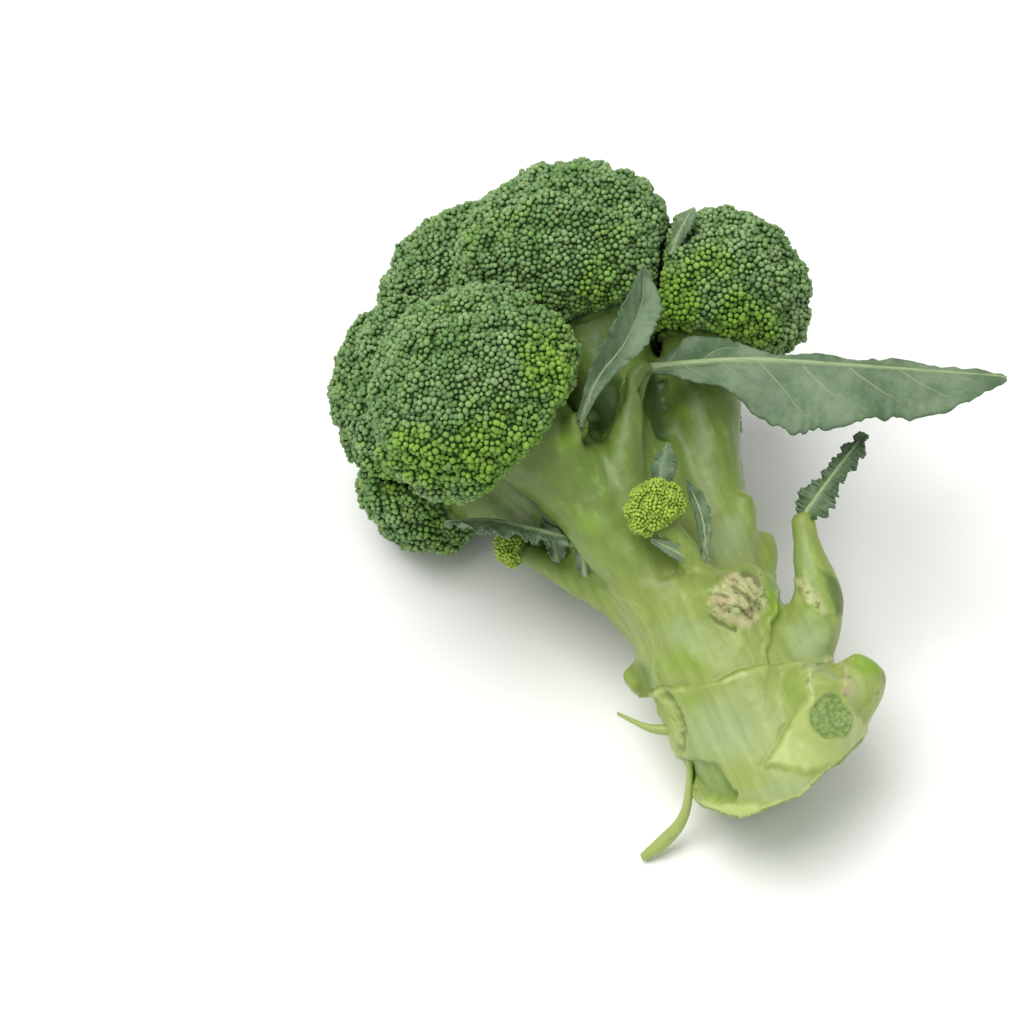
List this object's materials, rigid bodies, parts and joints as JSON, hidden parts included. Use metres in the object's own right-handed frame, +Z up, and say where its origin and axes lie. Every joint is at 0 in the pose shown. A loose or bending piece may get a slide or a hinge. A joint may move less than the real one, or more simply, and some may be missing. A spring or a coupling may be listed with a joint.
{
  "type": "broccoli head",
  "caption": "Fresh broccoli head lying on its side: crown of budded florets on branches, thick cut stalk with leaf scars, stubs and a few small leaves.",
  "frame": {"origin": "on the surface that the head lies on, under the middle of its bounding box", "axes": "+Z up; +Y level, the way the stalk points towards the crown; +X to the right when looking along +Y"},
  "size_m": [0.1567, 0.2045, 0.1087],
  "materials": {
    "stalk": "waxy pale green stalk skin",
    "buds": "matte dark green flower buds",
    "young_buds": "matte yellow-green young buds",
    "leaf": "grey-green leaf with a waxy bloom"
  },
  "bodies": {
    "root": {"stalk": "stalk", "floret_front_left": "buds", "floret_top_front": "buds", "floret_upper_left": "buds", "floret_left": "buds", "floret_right": "buds", "floret_lower_left": "buds", "floret_back": "buds", "floret_back_right": "buds", "floret_top_back": "buds", "floret_far_right": "buds", "front_shoot_buds": "young_buds", "left_shoot_buds": "young_buds", "side_leaf": "leaf", "inner_leaf": "leaf", "frilled_leaf": "leaf", "crown_leaf": "leaf", "under_leaf": "leaf", "shoot_leaf": "leaf"}
  },
  "joints": []
}
